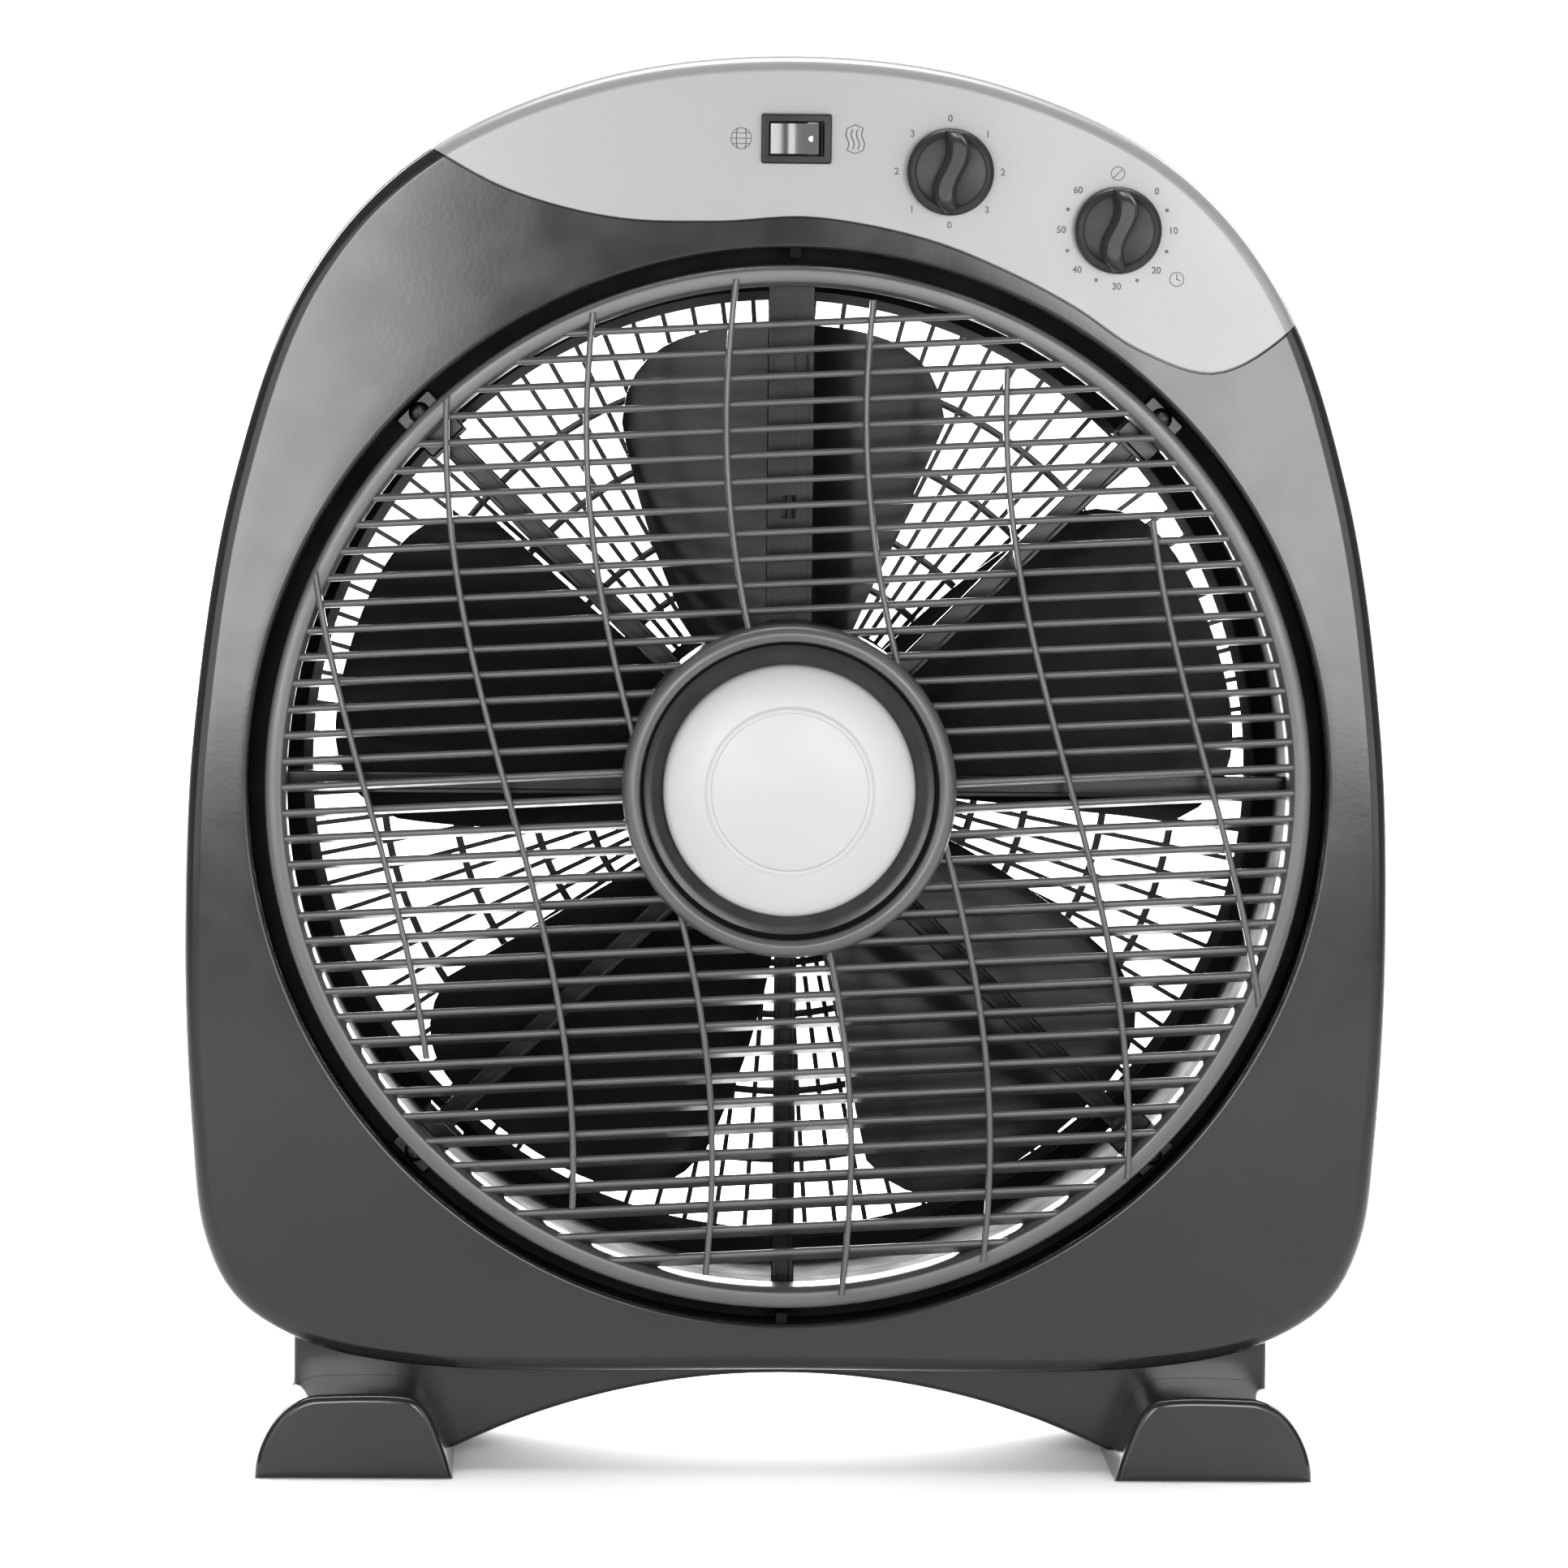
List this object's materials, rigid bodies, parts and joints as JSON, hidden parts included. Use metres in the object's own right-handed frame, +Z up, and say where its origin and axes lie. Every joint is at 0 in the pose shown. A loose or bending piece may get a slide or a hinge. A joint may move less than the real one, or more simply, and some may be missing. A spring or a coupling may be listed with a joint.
{
  "type": "box fan",
  "caption": "Upright box fan with a round louvred grille that turns, a bladed impeller, dial controls, a rocker switch and clip-on feet.",
  "frame": {"origin": "on the floor, in the middle of the footprint of the two feet", "axes": "+Z up, -Y the front where the air leaves, +X to the right of a person facing the front; the fan axis is parallel to Y, 212 mm above the floor"},
  "size_m": [0.3718, 0.136, 0.437],
  "materials": {
    "shell_gloss": "glossy moulded ABS, dark grey",
    "panel_silver": "silver-grey painted ABS, satin gloss",
    "cap_white": "white moulded ABS, satin",
    "black_plastic": "black moulded polypropylene, fine satin",
    "black_gloss": "polished black nylon",
    "smoke_plastic": "smoke-grey moulded AS resin",
    "lead_sheath": "black PVC lead sheath",
    "zinc_steel": "zinc-plated pressed and turned steel",
    "screw_steel": "zinc-plated pan-head screws",
    "copper_wire": "enamelled copper wire",
    "bronze": "sintered bronze bush"
  },
  "bodies": {
    "housing": {"front_shell": "shell_gloss", "rear_shell": "shell_gloss", "foot_left": "shell_gloss", "foot_right": "shell_gloss", "control_panel": "panel_silver", "capacitor": "cap_white", "rear_grille": "black_plastic", "cord_gland": "black_plastic", "grille_bracket": "black_plastic", "duct_cover": "black_plastic", "speed_switch": "black_plastic", "rocker_frame": "black_plastic", "grille_motor_lead": "lead_sheath", "grille_motor": "zinc_steel", "motor_front_cover": "zinc_steel", "motor_rear_cover": "zinc_steel", "motor_stator": "zinc_steel", "timer": "zinc_steel", "motor_winding": "copper_wire", "motor_front_bush": "bronze", "motor_rear_bush": "bronze", "foot_screw_left_1": "screw_steel", "foot_screw_left_2": "screw_steel", "foot_screw_right_1": "screw_steel", "foot_screw_right_2": "screw_steel", "shell_screw_1": "screw_steel", "shell_screw_2": "screw_steel", "shell_screw_3": "screw_steel", "shell_screw_4": "screw_steel", "shell_screw_5": "screw_steel", "shell_screw_6": "screw_steel", "rear_grille_screw_1": "screw_steel", "rear_grille_screw_2": "screw_steel", "rear_grille_screw_3": "screw_steel", "rear_grille_screw_4": "screw_steel", "motor_screw_1": "screw_steel", "motor_screw_2": "screw_steel", "motor_screw_3": "screw_steel", "motor_screw_4": "screw_steel", "bracket_screw_1": "screw_steel", "bracket_screw_2": "screw_steel", "bracket_screw_3": "screw_steel", "bracket_screw_4": "screw_steel", "grille_motor_screw_1": "screw_steel", "grille_motor_screw_2": "screw_steel"},
    "fan_rotor": {"impeller": "smoke_plastic", "impeller_nut": "smoke_plastic", "motor_shaft": "zinc_steel", "motor_rotor": "zinc_steel"},
    "louvre_rotor": {"louvre_grille": "shell_gloss", "hub_cap": "cap_white", "grille_motor_shaft": "zinc_steel"},
    "speed_dial": {"speed_knob": "shell_gloss", "speed_shaft": "zinc_steel"},
    "timer_dial": {"timer_knob": "shell_gloss", "timer_shaft": "zinc_steel"},
    "rocker": {"rocker_paddle": "black_gloss"}
  },
  "joints": [
    {"name": "fan_spin", "type": "hinge", "parent": "housing", "child": "fan_rotor", "pos_m": [0, 0, 0.212], "axis": [0, -1, 0], "continuous": true},
    {"name": "louvre_spin", "type": "hinge", "parent": "housing", "child": "louvre_rotor", "pos_m": [0, 0, 0.212], "axis": [0, 1, 0], "continuous": true},
    {"name": "speed_dial_turn", "type": "hinge", "parent": "housing", "child": "speed_dial", "pos_m": [0.0475, 0, 0.402], "axis": [0, 1, 0], "continuous": true},
    {"name": "timer_dial_turn", "type": "hinge", "parent": "housing", "child": "timer_dial", "pos_m": [0.0991, 0, 0.3846], "axis": [0, 1, 0], "range_deg": [0, 315]},
    {"name": "rocker_tilt", "type": "hinge", "parent": "housing", "child": "rocker", "pos_m": [0.0004, -0.046, 0.4117], "axis": [0, 0, 1], "range_deg": [0, 20]}
  ]
}
